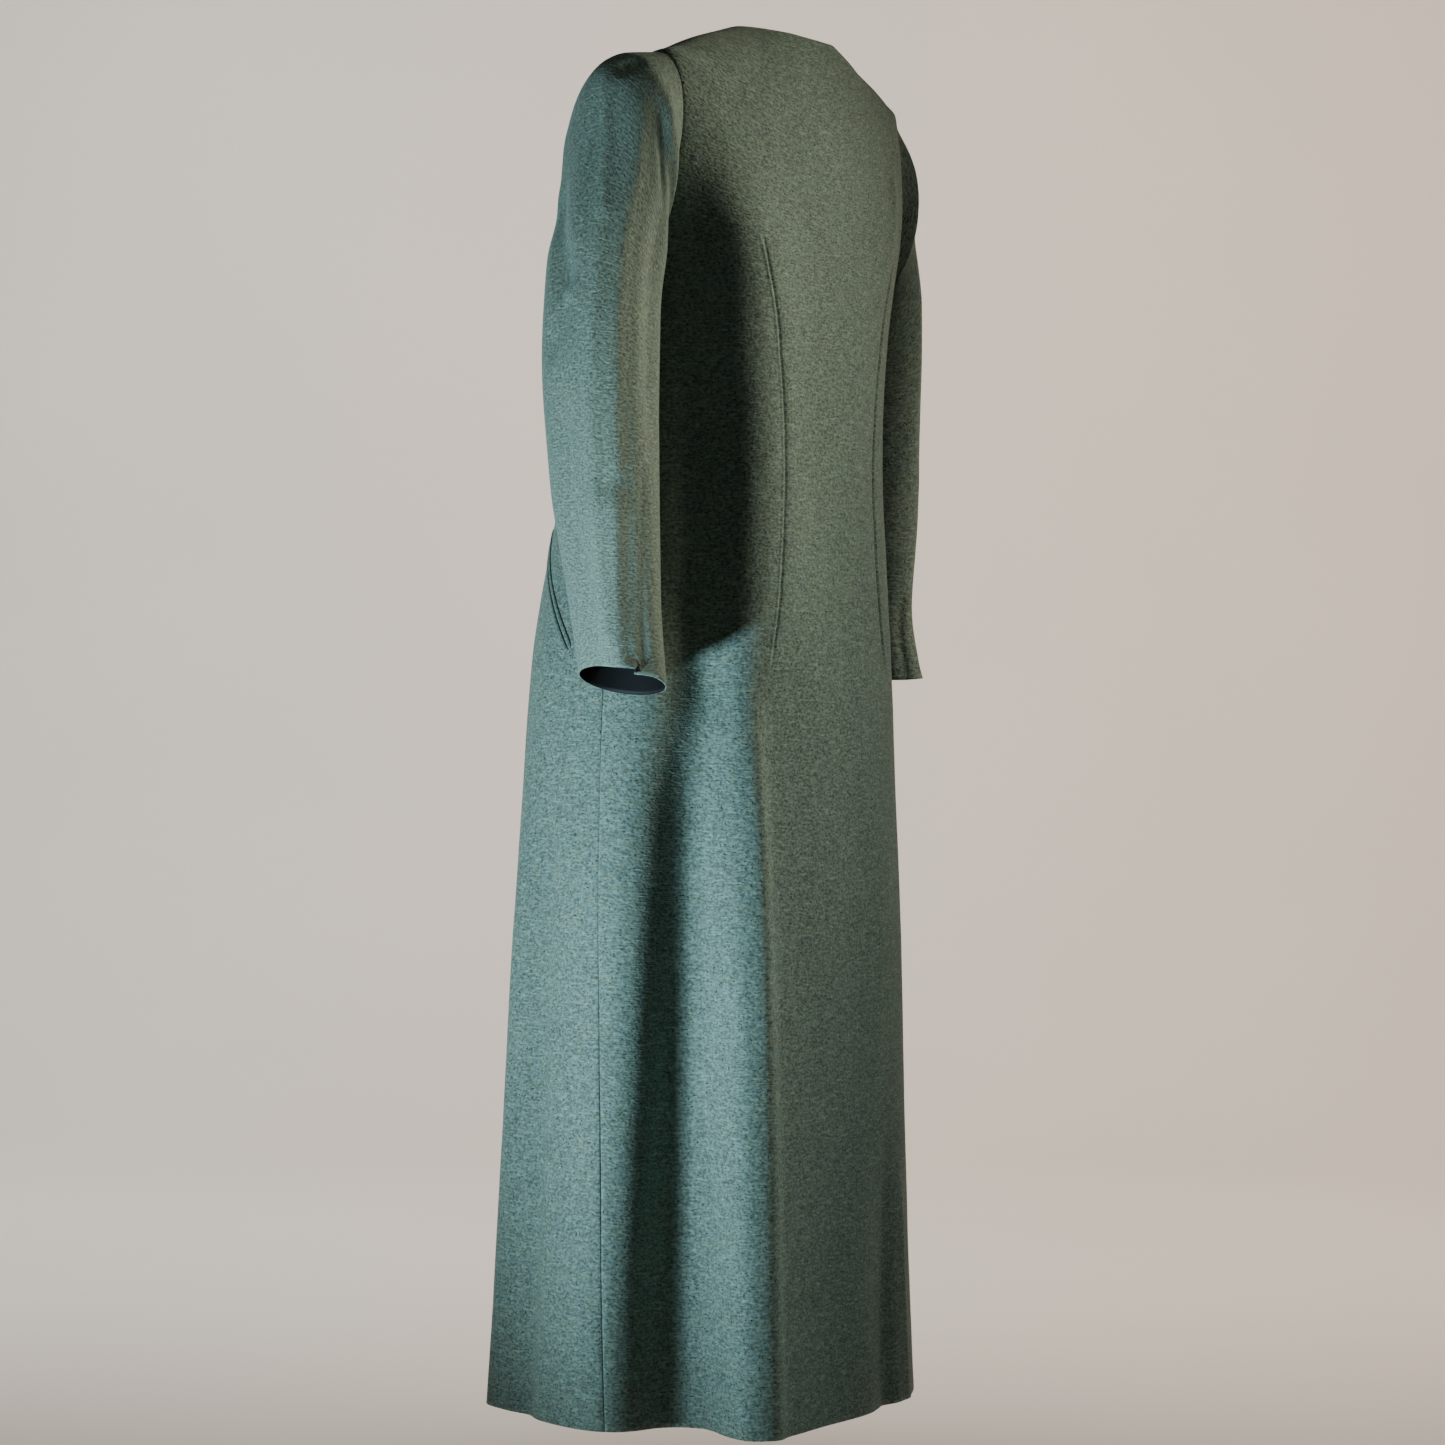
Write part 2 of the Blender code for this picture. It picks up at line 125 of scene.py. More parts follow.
# Creases, each from one place to another by its angle round the body and its way down, in degrees and
# millimetres. It bows sideways, is as wide as stated on its sides, and fades in and out over those shares.
CREASE_COLUMNS = (
    "from_angle", "from_down", "to_angle", "to_down", "bow",
    "wide_before", "wide_after", "fade_in", "fade_out", "depth",
)
BODY_CREASES = (
    # hollow beside the left arm, deeper lower down, and the corner by the dart
    (30, 190, 35, 700, 0, 50, 22, 0.35, 0.2, -8.0),
    (35, 360, 41, 740, 0, 34, 28, 0.4, 0.18, -9.0),
    (46, 150, 57, 760, 17, 38, 40, 0.25, 0.3, 10.0),
    # skirt's deep trough and the crest beside it, and a crumple low on the crest
    (38, 560, 31, 1361, -2, 38, 27, 0.34, 0.0, -26.0),
    (44, 610, 42, 840, 0, 18, 16, 0.4, 0.5, -7.0),
    (55, 660, 54, 1361, 2, 15, 11, 0.25, 0.0, 8.0),
    (46, 1160, 51, 1134, 2, 4, 4, 0.3, 0.3, -2.0),
    # two shallow folds at the right of the skirt's back, and slack by the right arm and over the waist
    (108, 1080, 105, 1361, 1, 9, 12, 0.4, 0.0, -3.5),
    (118, 1120, 117, 1361, 0, 10, 9, 0.4, 0.0, 2.5),
    (130, 150, 119, 300, -3, 9, 12, 0.3, 0.5, 2.5),
    (80, 410, 112, 432, 4, 14, 16, 0.35, 0.35, -1.4),
    (140, 640, 148, 1361, 3, 22, 26, 0.35, 0.0, -7.0),
    # left front
    (-34, 170, -40, 470, 4, 14, 18, 0.35, 0.35, -4.0),
    (-64, 190, -58, 430, -4, 12, 14, 0.35, 0.4, -2.2),
    (-22, 690, -20, 1361, 2, 18, 16, 0.35, 0.0, -8.0),
    (-48, 640, -50, 1361, -4, 26, 22, 0.35, 0.0, -13.0),
    (-34, 760, -36, 1361, 3, 15, 18, 0.35, 0.0, 6.0),
    # right front
    (-146, 170, -139, 480, -5, 14, 17, 0.35, 0.35, -4.2),
    (-116, 200, -122, 440, 4, 13, 12, 0.35, 0.4, -2.0),
    (-158, 680, -160, 1361, 3, 20, 16, 0.35, 0.0, -8.0),
    (-131, 660, -130, 1361, 4, 22, 27, 0.35, 0.0, -11.0),
    (-104, 780, -102, 1361, -2, 15, 12, 0.35, 0.0, 5.0),
)


def table_column(table, columns, name):
    place = columns.index(name)
    return np.array([row[place] for row in table.values()], float)


def table_curve(knots, values, at):
    """A smooth line through a table's values that never passes them between two rows."""
    step = np.diff(knots)
    slope = np.diff(values) / step
    same_way = slope[:-1] * slope[1:] > 0
    both = np.where(same_way, slope[:-1] + slope[1:], 1)
    inner = np.where(same_way, 2 * slope[:-1] * slope[1:] / both, 0)
    slopes = np.concatenate([slope[:1], inner, slope[-1:]])
    i = np.clip(np.searchsorted(knots, at, side="right") - 1, 0, len(knots) - 2)
    t = np.clip((at - knots[i]) / step[i], 0, 1)
    first = (2 * t**3 - 3 * t**2 + 1) * values[i] + (t**3 - 2 * t**2 + t) * step[i] * slopes[i]
    return first + (3 * t**2 - 2 * t**3) * values[i + 1] + (t**3 - t**2) * step[i] * slopes[i + 1]


def ease(t):
    t = np.clip(t, 0, 1)
    return t * t * (3 - 2 * t)


def ring_size(name, down):
    scale = 1 if name.endswith("full") else MM
    places = table_column(RINGS, RING_COLUMNS, "down") * MM
    return scale * table_curve(places, table_column(RINGS, RING_COLUMNS, name), down)


def rounded_ring_size(name, down, share):
    near = np.minimum(ROUNDING, np.minimum(down, HEM - down))
    mean = (ring_size(name, down - near) + 2 * ring_size(name, down) + ring_size(name, down + near)) / 4
    return ring_size(name, down) * (1 - share) + mean * share


def skirt_folds(angle, down):
    total = np.zeros(angle.shape)
    for row in FOLDS.values():
        fold = dict(zip(FOLD_COLUMNS, row))
        share = np.clip((down - fold["starts"] * MM) / (HEM - fold["starts"] * MM), 0, 1)
        centre = fold["angle_top"] + (fold["angle_hem"] - fold["angle_top"]) * share
        off = (np.degrees(angle) - centre + 180) % 360 - 180
        wide = np.where(off < 0, fold["wide_before"], fold["wide_after"])
        total = total + fold["depth"] * MM * ease(share) * np.exp(-((off / wide) ** 2))
    return total


def body(angle, down):
    """A point of the coat's outside. The angle runs from the left side over the back to the right side."""
    angle, down = np.broadcast_arrays(np.asarray(angle, float), np.asarray(down, float))
    across, along = np.cos(angle), np.sin(angle)
    behind = along >= 0
    share = ease((np.abs(along) - 0.1) / 0.5)
    value = {name: rounded_ring_size(name, down, share) for name in RING_COLUMNS[1:]}
    half_width = value["half_width"]
    reach = np.where(behind, value["back_y"], value["front_y"]) - value["side_y"]
    drop = np.where(behind, value["back_z"], value["front_z"]) - value["side_z"]
    full = 1 + np.where(behind, value["back_full"], value["front_full"]) * np.sin(2 * angle) ** 2
    power = NECK_ROUND + (RING_ROUND - NECK_ROUND) * ease(down / NECK_ROUND_ENDS)
    power = np.where(behind, RING_ROUND, power)
    out = skirt_folds(angle, down) / np.hypot(across / half_width, along / reach)
    x = half_width * across * full + out * across / half_width
    y = value["side_y"] + reach * np.abs(along) * full + out * along / np.abs(reach)
    return np.stack([x, y, value["side_z"] + drop * np.abs(along) ** power], -1)


def body_moved_out(angle, down, distance):
    small = 1e-4
    round_way = body(angle + small, down) - body(angle - small, down)
    down_way = body(angle, down + small) - body(angle, down - small)
    normal = np.cross(down_way, round_way)
    normal /= np.linalg.norm(normal, axis=-1, keepdims=True)
    return body(angle, down) + normal * np.asarray(distance)[..., None]


def radius(angle, down):
    small = 1e-4
    return np.linalg.norm(body(angle + small, down) - body(angle - small, down), axis=-1) / (2 * small)


def armhole_edge(turn):
    """Angle and down of the armhole's edge. The turn is 0 at the shoulder and pi under the arm."""
    middle, half = (ARMHOLE_TOP + ARMHOLE_BOTTOM) / 2, (ARMHOLE_BOTTOM - ARMHOLE_TOP) / 2
    reach = np.where(np.sin(turn) >= 0, ARMHOLE_BACK, ARMHOLE_FRONT)
    reach = reach * (1 + ARMHOLE_FULL_ABOVE * np.cos(turn))
    centre = SIDE_SEAM["underarm"][1] * (1 - np.cos(turn)) / 2
    return np.radians(centre + reach * np.sin(turn)), middle - half * np.cos(turn)


def panel_edge(way):
    """How far down a panel's rows lie, and its edge's angles. The way is 1 for the back, -1 for a front."""
    yoke = np.linspace(0, ARMHOLE_TOP, YOKE_ROWS + 1)[:-1]
    armhole_angles, armhole_downs = armhole_edge(way * np.linspace(0, np.pi, ARMHOLE_ROWS + 1))
    below = ARMHOLE_BOTTOM + (HEM - ARMHOLE_BOTTOM) * np.linspace(0, 1, SKIRT_ROWS + 1)[1:]
    places = table_column(SIDE_SEAM, SIDE_SEAM_COLUMNS, "down") * MM
    seam = np.radians(table_curve(places, table_column(SIDE_SEAM, SIDE_SEAM_COLUMNS, "angle"), below))
    downs = np.concatenate([yoke, armhole_downs, below])
    return downs, np.concatenate([np.zeros(YOKE_ROWS), armhole_angles, seam])


def spread(count):
    """Shares from 0 to 1 that lie closer together near both ends."""
    t = np.linspace(0, 1, count + 1)
    return t - 0.6 * np.sin(2 * np.pi * t) / (2 * np.pi)


def creases(table, angle, down, mm_a_degree):
    """How far the small creases of a table move the cloth out, in metres."""
    total = np.zeros(angle.shape)
    for row in table:
        crease = dict(zip(CREASE_COLUMNS, row))
        middle_angle = (crease["from_angle"] + crease["to_angle"]) / 2
        middle_down = (crease["from_down"] + crease["to_down"]) / 2
        scale = mm_a_degree(middle_angle, middle_down)
        x = ((angle - crease["from_angle"] + 180) % 360 - 180) * scale
        y = down - crease["from_down"]
        reach_x = (crease["to_angle"] - crease["from_angle"]) * scale
        reach_y = crease["to_down"] - crease["from_down"]
        length = np.hypot(reach_x, reach_y)
        t = (x * reach_x + y * reach_y) / length**2
        off = (x * reach_y - y * reach_x) / length - crease["bow"] * 4 * t * (1 - t)
        wide = np.where(off < 0, crease["wide_before"], crease["wide_after"])
        fade_in = ease(t / crease["fade_in"]) if crease["fade_in"] else 1
        fade_out = ease((1 - t) / crease["fade_out"]) if crease["fade_out"] else 1
        total = total + crease["depth"] * MM * fade_in * fade_out * np.exp(-((off / wide) ** 2))
    return total


# Waves of the hanging cloth to the metre, across and down, and how high they stand. The back and the fronts
# share one run of them, which is lower on the left front.
SLOW_ACROSS, SLOW_DOWN, SLOW_HEIGHT = 17, 5, 1.3 * MM
QUICK_ACROSS, QUICK_DOWN, QUICK_HEIGHT = 48, 22, 0.35 * MM
BODY_WAVES = 3.1


def unevenness(points, seed):
    """Slow rise and fall of hanging cloth, longer down than across, with a finer ripple on it, in metres."""
    flat = points.reshape(-1, 3)
    slow = [noise.noise((SLOW_ACROSS * x + seed, SLOW_ACROSS * y, SLOW_DOWN * z)) for x, y, z in flat]
    quick = [noise.noise((QUICK_ACROSS * x + seed, QUICK_ACROSS * y, QUICK_DOWN * z)) for x, y, z in flat]
    return (SLOW_HEIGHT * np.array(slow) + QUICK_HEIGHT * np.array(quick)).reshape(points.shape[:-1])


def grid_normals(grid, closed=False):
    """Normals that point out of the cloth, from a grid whose rows run down and columns anticlockwise."""
    if closed:
        round_way = np.roll(grid, -1, 1) - np.roll(grid, 1, 1)
    else:
        round_way = np.gradient(grid, axis=1)
    normal = np.cross(np.gradient(grid, axis=0), round_way)
    return normal / np.maximum(np.linalg.norm(normal, axis=-1, keepdims=True), 1e-12)


def srgb(colour):
    """The linear colour of an sRGB hex value."""
    channels = [int(colour[i : i + 2], 16) / 255 for i in (0, 2, 4)]
    return tuple(c / 12.92 if c <= 0.04045 else ((c + 0.055) / 1.055) ** 2.4 for c in channels) + (1,)


def add_node(tree, kind, settings=None, **links):
    """Adds a node. Settings that name an input set its value, and the others are the node's own."""
    made = tree.nodes.new(kind)
    for name, value in (settings or {}).items():
        if isinstance(name, int) or name in made.inputs:
            made.inputs[name].default_value = value
        else:
            setattr(made, name, value)
    for name, source in links.items():
        socket = made.inputs[int(name[1:])] if name[1:].isdigit() else made.inputs[name.replace("_", " ")]
        tree.links.new(source, socket)
    return made


TEAL_YARN, OLIVE_YARN, DARK_FIBRE, SHEEN_TINT = "677E79", "6E7C6C", "27302E", "A9BDB2"


def slubbed_silk(name, seed, teal_yarn=TEAL_YARN, olive_yarn=OLIVE_YARN):
    """Plain-woven silk tweed. Teal and olive yarns give a heathered colour, thick slubs give light flecks
    along the weft and fainter ones down the warp, and stray dark fibres give specks. Its sheen is soft."""
    material = bpy.data.materials.new(name)
    material.use_nodes = True
    tree = material.node_tree
    shader = tree.nodes["Principled BSDF"]
    grain = add_node(tree, "ShaderNodeUVMap", {"uv_map": "grain"}).outputs["UV"]

    def pattern(across_mm, along_mm, detail, low, high):
        """Noise with grains of that size, from 0 to 1 between the two levels."""
        scaled = add_node(
            tree,
            "ShaderNodeMapping",
            {"Scale": (1000 / across_mm, 1000 / along_mm, 1), "Location": (seed, seed * 0.7, seed)},
            Vector=grain,
        )
        settings = {"Scale": 1.0, "Detail": detail}
        grains = add_node(tree, "ShaderNodeTexNoise", settings, Vector=scaled.outputs[0])
        levels = {"From Min": low, "From Max": high}
        return add_node(tree, "ShaderNodeMapRange", levels, Value=grains.outputs[0]).outputs[0]

    # Yarns are 0.5 mm apart, and are drawn 2 to 3 mm apart because finer ones would not show at this distance
    weft_slub = pattern(9.0, 1.7, 1.5, 0.50, 0.74)
    warp_slub = pattern(1.8, 24.0, 1.5, 0.44, 0.74)
    weave = pattern(3.0, 2.2, 3.0, 0.32, 0.68)
    heather = pattern(7.0, 5.0, 3.0, 0.22, 0.78)
    specks = pattern(2.0, 1.7, 0.0, 0.72, 0.77)
    wear = pattern(70.0, 140.0, 2.0, 0.30, 0.70)

    def blend(factor, first, second):
        made = add_node(tree, "ShaderNodeMix", {"data_type": "RGBA"})
        for place, value in ((0, factor), (6, first), (7, second)):
            if isinstance(value, (tuple, float)):
                made.inputs[place].default_value = value
            else:
                tree.links.new(value, made.inputs[place])
        return made.outputs[2]

    yarns = blend(heather, srgb(teal_yarn), srgb(olive_yarn))
    shade = add_node(tree, "ShaderNodeMath", {"operation": "MULTIPLY_ADD", 1: 0.96, 2: 0.38}, _0=weave)
    for share, source in ((0.56, weft_slub), (0.14, warp_slub), (0.10, wear)):
        settings = {"operation": "MULTIPLY_ADD", 1: share}
        shade = add_node(tree, "ShaderNodeMath", settings, _0=source, _2=shade.outputs[0])
    shaded = add_node(tree, "ShaderNodeVectorMath", {"operation": "SCALE"}, _0=yarns)
    tree.links.new(shade.outputs[0], shaded.inputs["Scale"])
    speckled = blend(specks, shaded.outputs[0], srgb(DARK_FIBRE))
    tree.links.new(speckled, shader.inputs["Base Color"])

    height = add_node(tree, "ShaderNodeMath", {"operation": "ADD"}, _0=weave, _1=weft_slub)
    settings = {"Strength": 0.45, "Distance": 0.5 * MM}
    bump = add_node(tree, "ShaderNodeBump", settings, Height=height.outputs[0])
    tree.links.new(bump.outputs[0], shader.inputs["Normal"])
    shader.inputs["Roughness"].default_value = 0.75
    shader.inputs["Specular IOR Level"].default_value = 0.25
    shader.inputs["Sheen Weight"].default_value = 0.45
    shader.inputs["Sheen Roughness"].default_value = 0.5
    shader.inputs["Sheen Tint"].default_value = srgb(SHEEN_TINT)
    return material


def cloth_piece(name, grid, grain_x, grain_y, material, closed=False, thick=CLOTH, inside=None):
    """A thin shell of cloth whose outside is a grid of points, with a map of the weave in metres. Rows of the
    grid run down and columns anticlockwise, seen from above. The inside can have a material of its own."""
    rows, columns = grid.shape[:2]
    steps = np.arange(columns if closed else columns - 1)
    first = (np.arange(rows - 1)[:, None] * columns + steps[None, :]).ravel()
    beside = (np.arange(rows - 1)[:, None] * columns + ((steps + 1) % columns)[None, :]).ravel()
    faces = np.stack([first, first + columns, beside + columns, beside], 1)
    mesh = bpy.data.meshes.new(name)
    mesh.from_pydata(grid.reshape(-1, 3).tolist(), [], faces.tolist())
    grain = mesh.uv_layers.new(name="grain")
    across = np.broadcast_to(grain_x, (rows, columns + 1 if closed else columns))
    along = np.broadcast_to(grain_y, across.shape)
    row_of, column_of = np.divmod(first, columns)
    corners = ((0, 0), (1, 0), (1, 1), (0, 1))
    places = [(row_of + dr, column_of + dc) for dr, dc in corners]
    uv = np.stack([np.stack([across[r, c], along[r, c]], -1) for r, c in places], 1)
    grain.data.foreach_set("uv", uv.reshape(-1).astype(np.float32))
    mesh.materials.append(material)
    mesh.shade_smooth()
    piece = bpy.data.objects.new(name, mesh)
    bpy.context.scene.collection.objects.link(piece)
    shell = piece.modifiers.new("Cloth", "SOLIDIFY")
    shell.thickness = thick
    shell.offset = -1
    shell.use_rim = True
    if inside:
        mesh.materials.append(inside)
        shell.material_offset = 1
    return piece


ARMHOLE_ROLL, SIDE_SEAM_ROLL = 0.3, 1.1


def seam_roll(distance, down):
    """How far cloth is drawn in at that distance from a seam. The armhole's seam is pressed flatter."""
    share = np.where(down < ARMHOLE_BOTTOM, ARMHOLE_ROLL, SIDE_SEAM_ROLL)
    return -SEAM_ROLL * share * np.exp(-((distance / SEAM_ROLL_WIDTH) ** 2))


def body_mm_a_degree(angle, down):
    inside = np.array(np.clip(down, 1, HEM / MM - 1) * MM)
    return float(radius(np.radians(angle), inside)) * 1000 * np.pi / 180


def edge_distance(angle, edge, down):
    """Metres across the cloth from a row's edge."""
    return np.abs(angle - edge[:, None]) * radius((angle + edge[:, None]) / 2, down)


downs, edge = panel_edge(1)
places = table_column(DART, DART_COLUMNS, "down") * MM
dart = np.radians(table_curve(places, table_column(DART, DART_COLUMNS, "angle"), downs))
beside = DART_HALF_WIDTH / radius(dart, downs)
outer = edge[:, None] + (dart - beside - edge)[:, None] * spread(BACK_OUTER_COLUMNS)
across_dart = np.linspace(-1, 1, BACK_DART_COLUMNS + 1)[1:-1]
inner = (dart + beside)[:, None] + (np.pi / 2 - dart - beside)[:, None] * spread(BACK_INNER_COLUMNS)
half = np.concatenate([outer, dart[:, None] + beside[:, None] * across_dart, inner], 1)
angle = np.concatenate([half, np.pi - half[:, -2::-1]], 1)
down = np.broadcast_to(downs[:, None], angle.shape)
points = body(angle, down)
drawn_in = table_curve(places, table_column(DART, DART_COLUMNS, "depth") * MM, downs)[:, None]
stitched = ease(np.minimum(drawn_in / DART_STITCHED_FROM, 1))
relief = np.zeros(angle.shape)
for way, centre in ((1, dart), (-1, np.pi - dart)):
    off = way * (angle - centre[:, None]) * radius(centre, downs)[:, None] / MM
    # The cloth sinks to the dart, with a fine line at the stitches and the folded cloth raised beside it
    sunk = drawn_in * DART_SINKS * np.exp(-((off / DART_SUNK_MM) ** 2))
    line = DART_LINE * stitched * np.exp(-(((off - 0.4) / 1.2) ** 2))
    relief -= sunk + line
    relief += DART_RIDGE * stitched * np.exp(-(((off + 2.8) / 1.6) ** 2))
relief += creases(BODY_CREASES, np.degrees(angle), down / MM, body_mm_a_degree)
relief += unevenness(points, BODY_WAVES)
from_seam = np.minimum(edge_distance(angle, edge, down), edge_distance(angle, np.pi - edge, down))
relief += seam_roll(from_seam, down)
points = points + grid_normals(points) * relief[..., None]
steps = np.linalg.norm(np.diff(points, axis=1), axis=-1)
grain_x = np.concatenate([np.zeros((len(downs), 1)), np.cumsum(steps, 1)], 1)
grain_x -= grain_x[:, grain_x.shape[1] // 2][:, None]
back_silk = slubbed_silk("plain_woven_slubbed_silk_back", 3.7)
coat_back = cloth_piece("coat_back_cloth", points, grain_x, -downs[:, None], back_silk)
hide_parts("coat_back")
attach(coat_back, "root")


# The fronts. Two panels of the same silk, joined to the back at the shoulders and sides and lapped right over
# left down the middle, with nothing that shows to fasten them. Each is let in to the sleeve at its armhole.

LAP_FROM_MIDDLE, LAP_STEP_WIDTH, LAP_STEP_SHARE, LAP_STEP = 30 * MM, 28 * MM, 0.35, 2.2 * MM
LAP_STEP_ENDS, UNDER_LAP_WAVES = 32 * MM, 0.4
FRONT_COLUMNS, LAP_COLUMNS = 66, 14
POCKET_LOW_DOWN, POCKET_LOW_ANGLE = 663 * MM, -16.0
POCKET_HIGH_DOWN, POCKET_HIGH_ANGLE = 550 * MM, -48.0


def mirrored(angle):
    return -np.pi - angle


downs, edge = panel_edge(-1)
half_width = ring_size("half_width", downs)
to_side = half_width - LAP_FROM_MIDDLE
step_start = LAP_FROM_MIDDLE + np.minimum(LAP_STEP_WIDTH, LAP_STEP_SHARE * to_side)
to_lap = -np.arccos(step_start / half_width)
to_edge = -np.arccos(-LAP_FROM_MIDDLE / half_width)
outer = edge[:, None] + (to_lap - edge)[:, None] * spread(FRONT_COLUMNS)[:-1]
under = to_lap[:, None] + (to_edge - to_lap)[:, None] * np.linspace(0, 1, LAP_COLUMNS + 1)
left_angle = np.concatenate([outer, under], 1)
down = np.broadcast_to(downs[:, None], left_angle.shape)
rolled = seam_roll(edge_distance(left_angle, edge, down), down)
for hand in ("left", "right"):
    is_left = hand == "left"
    if is_left:
        # The left front steps in to lie under the right one
        x = np.cos(left_angle) * half_width[:, None]
        stepped = LAP_STEP * ease((step_start[:, None] - x) / (step_start - LAP_STEP_ENDS)[:, None])
        angle, relief = left_angle[:, ::-1], (rolled - stepped)[:, ::-1]
    else:
        angle, relief = mirrored(left_angle), rolled
    points = body(angle, down)
    relief = relief + creases(BODY_CREASES, np.degrees(angle), down / MM, body_mm_a_degree)
    relief = relief + unevenness(points, BODY_WAVES) * (UNDER_LAP_WAVES if is_left else 1)
    points = points + grid_normals(points) * relief[..., None]
    steps = np.linalg.norm(np.diff(points, axis=1), axis=-1)
    grain_x = np.concatenate([np.zeros((len(downs), 1)), np.cumsum(steps, 1)], 1)
    if not is_left:
        grain_x = grain_x - grain_x[:, -1:]
    front_silk = slubbed_silk("plain_woven_slubbed_silk_" + hand + "_front", 11.3 if is_left else 19.9)
    front = cloth_piece(hand + "_front_cloth", points, grain_x, -downs[:, None], front_silk)
    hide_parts(hand + "_front")
    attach(front, "root")


# The sleeves. Each is one piece of the silk, sewn to a tube and set into its armhole, where the seam's edges
# push the head of the sleeve up into a soft roll. It hangs in long soft folds and ends in a turned cuff.

# Rings of the sleeve, in millimetres: where its outer and inner sides are, how far back its middle lies, and
# half its depth from front to back
SLEEVE_COLUMNS = ("outer_x", "outer_z", "inner_x", "inner_z", "mid_y", "half_depth")
SLEEVES = {
    "left": {
        "cap_roll": (212, -46, 192, -222, -15, 54),
        "cap_crown": (231, -68, 187, -237, -22, 55),
        "cap_low": (241, -126, 182, -252, -22, 55),
        "upper_arm": (262, -214, 180, -284, -26, 57),
        "elbow": (271, -320, 182, -338, -24, 57),
        "forearm": (266, -425, 186, -436, -19, 53),
        "cuff_near": (254, -520, 188, -530, -11, 46),
        "cuff": (246, -594, 190, -619, -2, 44),
    },
    "right": {
        "cap_roll": (207, -53, 193, -221, -18, 52),
        "cap_crown": (224, -79, 189, -236, -26, 52),
        "cap_low": (240, -132, 183, -252, -32, 53),
        "upper_arm": (264, -214, 182, -284, -34, 56),
        "elbow": (267, -320, 184, -338, -36, 56),
        "forearm": (263, -425, 187, -436, -35, 52),
        "cuff_near": (250, -520, 189, -524, -29, 46),
        "cuff": (248, -594, 191, -599, -13, 44),
    },
}
# A soft tuck grows down the forearm by its turn round the sleeve, and a pleat turns back at the cuff's edge
TUCK_COLUMNS = ("turn", "starts_z", "wide_before", "wide_after", "depth")
TUCKS = {"left": (58, -430, 9, 26, -1.2), "right": (40, -470, 7, 24, -5)}
PLEAT_COLUMNS = ("turn", "wide", "back", "depth", "long")
PLEATS = {"left": (50, 9, 17, 2.2, 110), "right": (66, 9, 7, 1.2, 80)}
PLEAT_TURNS_BACK_OVER = 15
SLEEVE_ROWS, SLEEVE_ROUND, RING_ROOM = 180, 132, 10 * MM
SLEEVE_LENGTH, SLEEVE_MM_A_DEGREE = 600, 0.95
SLEEVE_WAVES, WAVES_FADE_IN, RELIEF_FADES_IN = {"left": 7.7, "right": 5.2}, 0.05, 0.012

# Creases by the turn round the sleeve, in degrees from its outer side towards the back, and by the way down
# the sleeve from the armhole, in millimetres
SLEEVE_CREASES = {
    "left": (
        (28, 36, 13, 68, 0, 4, 5, 0.3, 0.3, -5.0),
        (338, 20, 40, 20, 3, 7, 7, 0.3, 0.3, 2.0),
        (0, 55, 26, 178, 0, 8, 7, 0.2, 0.1, 2.6),
        (26, 160, 14, 600, 0, 8, 8, 0.12, 0.1, 3.2),
        (344, 290, 350, 520, 0, 14, 12, 0.3, 0.3, -4.0),
        (352, 70, 350, 170, 3, 4, 5, 0.3, 0.4, 1.0),
        (48, 40, 42, 430, 0, 26, 9, 0.2, 0.15, 5.0),
        (42, 400, 24, 600, 0, 24, 10, 0.15, 0.0, 6.5),
        (56, 38, 90, 122, 4, 8, 8, 0.35, 0.4, -2.3),
        (76, 340, 56, 600, 4, 5, 10, 0.3, 0.0, -1.4),
        (48, 16, 92, 56, -3, 6, 6, 0.25, 0.3, 0.8),
        (300, 130, 354, 236, 3, 14, 14, 0.3, 0.15, -9.0),
        (354, 230, 322, 290, 3, 14, 12, 0.15, 0.4, -5.0),
        (90, 60, 92, 430, 0, 16, 16, 0.3, 0.4, -7.0),
        (200, 60, 190, 420, 10, 18, 20, 0.3, 0.3, -4.0),
        (250, 90, 262, 380, -8, 14, 18, 0.3, 0.4, -3.5),
        (280, 40, 300, 180, 8, 10, 12, 0.3, 0.4, 2.5),
    ),
    "right": (
        (322, 14, 34, 14, 0, 11, 14, 0.3, 0.3, 3.5),
        (12, 90, 20, 520, -6, 10, 12, 0.2, 0.3, 2.2),
        (99, 480, 120, 590, 4, 7, 10, 0.4, 0.0, -2.0),
        (60, 120, 70, 380, 5, 14, 12, 0.3, 0.3, -2.5),
        (205, 70, 190, 400, 8, 18, 20, 0.3, 0.3, -4.0),
        (255, 110, 268, 360, -8, 14, 16, 0.3, 0.4, -3.5),
        (310, 150, 335, 270, 5, 14, 16, 0.4, 0.4, -3.0),
    ),
}


# The sleeves' inner faces are drawn near-black, far darker than the silk outside
INNER_FACE_COLOUR, INNER_FACE_WEFT_MM, INNER_FACE_WARP_MM = "0B0D10", 1.6, 1.2


def near_black_inner_face(name):
    """A near-black inner face for the sleeves, woven plain and close: almost no colour, with a faint gloss.
    """
    material = bpy.data.materials.new(name)
    material.use_nodes = True
    tree = material.node_tree
    grain = add_node(tree, "ShaderNodeUVMap", {"uv_map": "grain"}).outputs["UV"]
    scale = (1000 / INNER_FACE_WEFT_MM, 1000 / INNER_FACE_WARP_MM, 1)
    threads = add_node(tree, "ShaderNodeMapping", {"Scale": scale}, Vector=grain)
    weave = add_node(tree, "ShaderNodeTexNoise", {"Scale": 1.0, "Detail": 1.0}, Vector=threads.outputs[0])
    levels = add_node(tree, "ShaderNodeMapRange", {"To Min": 0.7, "To Max": 1.3}, Value=weave.outputs[0])
    dye = add_node(tree, "ShaderNodeVectorMath", {"operation": "SCALE", 0: srgb(INNER_FACE_COLOUR)[:3]})
    tree.links.new(levels.outputs[0], dye.inputs["Scale"])
    shader = tree.nodes["Principled BSDF"]
    tree.links.new(dye.outputs[0], shader.inputs["Base Color"])
    shader.inputs["Roughness"].default_value = 0.6
    shader.inputs["Specular IOR Level"].default_value = 0.2
    return material


